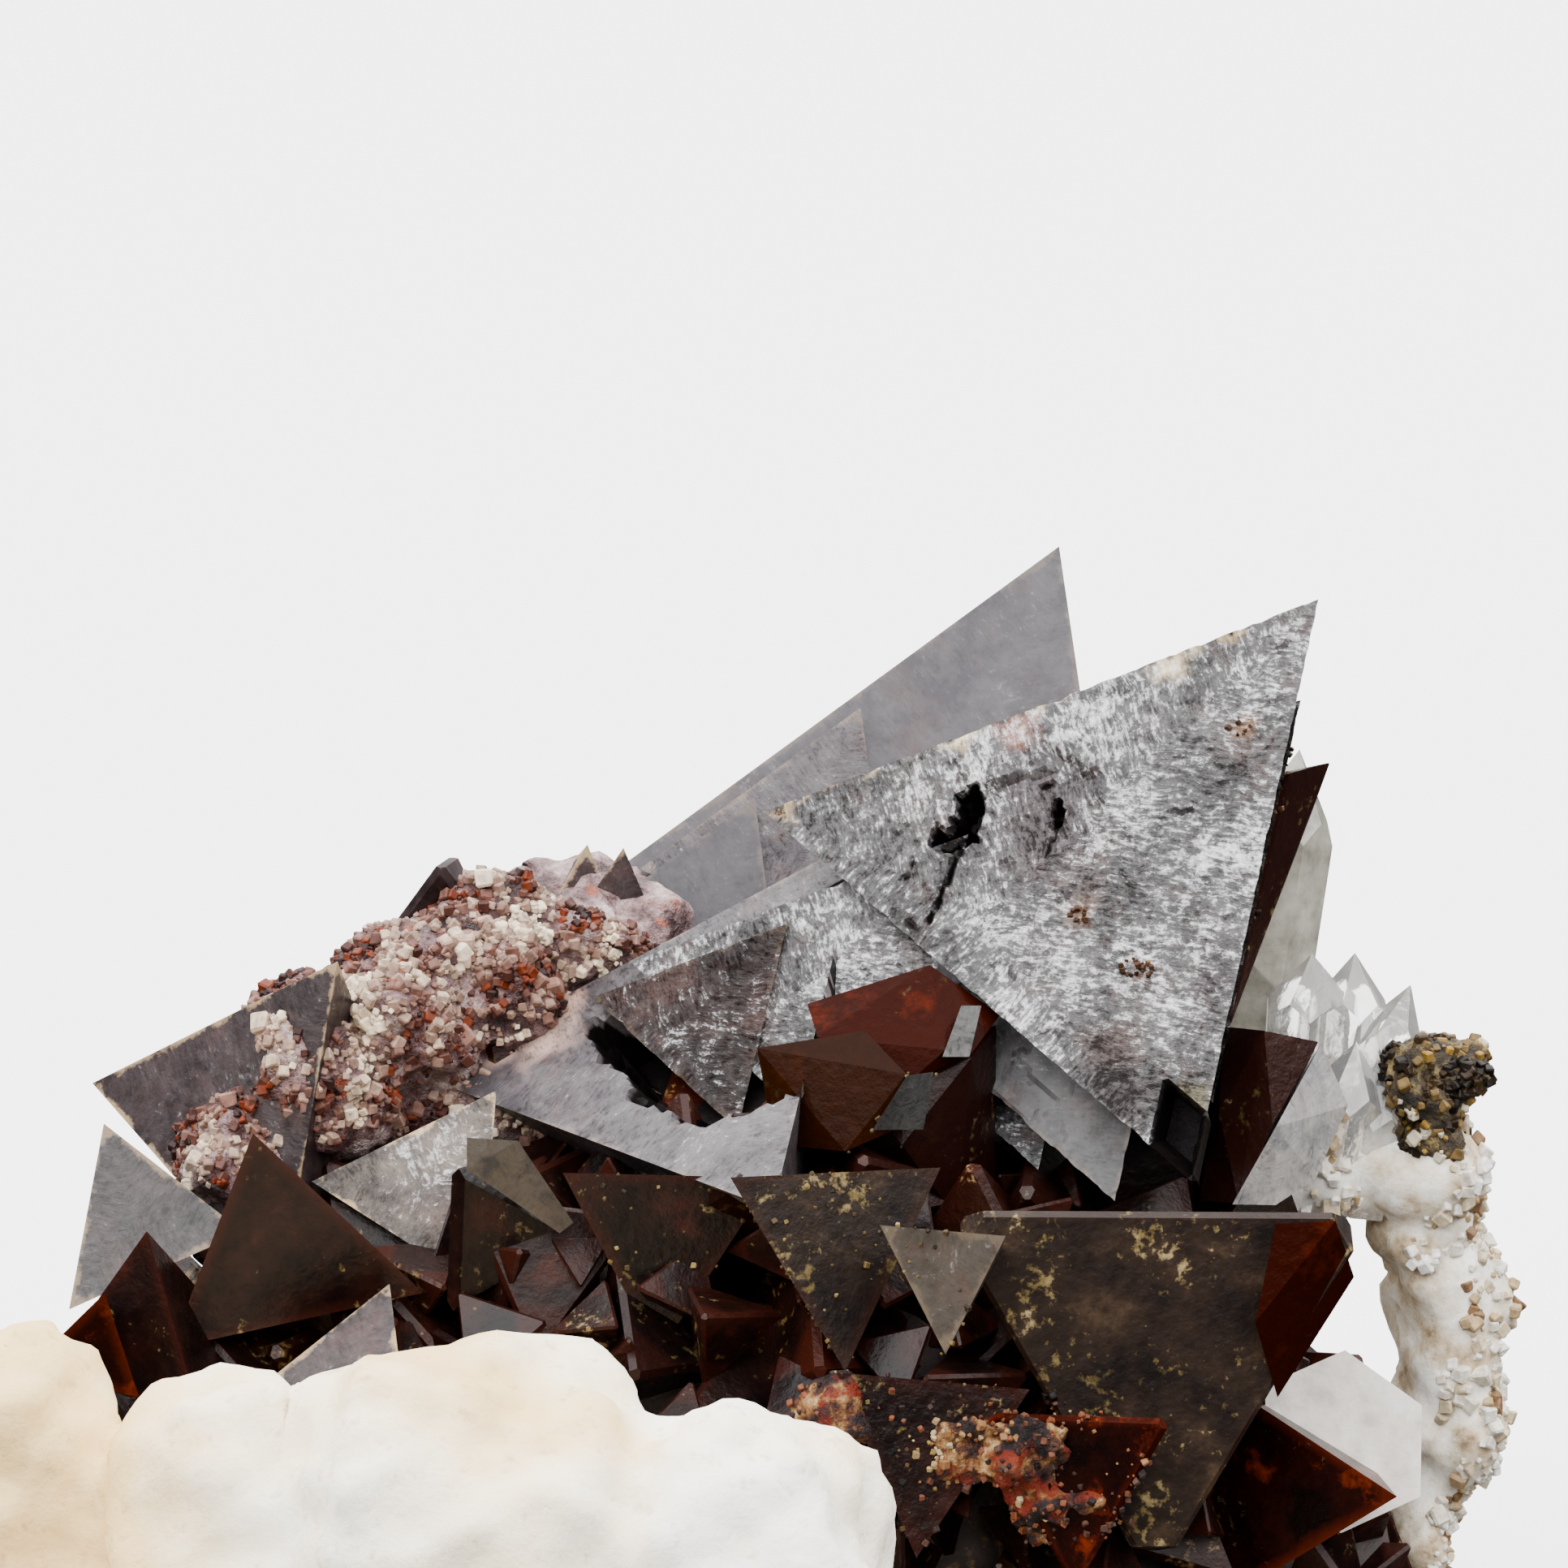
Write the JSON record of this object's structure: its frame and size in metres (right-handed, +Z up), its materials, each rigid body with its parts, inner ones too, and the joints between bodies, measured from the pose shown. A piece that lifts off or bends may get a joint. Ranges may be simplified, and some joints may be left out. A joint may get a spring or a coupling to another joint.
{
  "type": "helvine mineral specimen",
  "caption": "Loose mineral specimen: dark red-brown tetrahedral helvine crystals grown together on pale vein rock, with quartz crystals at one side and a flat cut base.",
  "frame": {"origin": "centre of the overall box's bottom, on the plane of the flat base", "axes": "+Z up; the best crystal faces and the view of the picture look from -Y towards +Y; +X to the right of that view"},
  "size_m": [0.0521, 0.0561, 0.0398],
  "materials": {
    "helvine": "glossy red-brown crystal, some faces etched grey",
    "vein_rock": "rough cream rock",
    "crust": "rough mauve-grey crust",
    "quartz": "clear to cloudy crystal",
    "iron_oxide": "rough earthy brown"
  },
  "bodies": {
    "root": {"matrix_rock": "vein_rock", "helvine_cluster": "helvine", "crusted_ledge": "crust", "quartz_prism": "quartz", "quartz_points": "quartz", "quartz_plate": "quartz", "oxide_nub": "iron_oxide"}
  },
  "joints": []
}
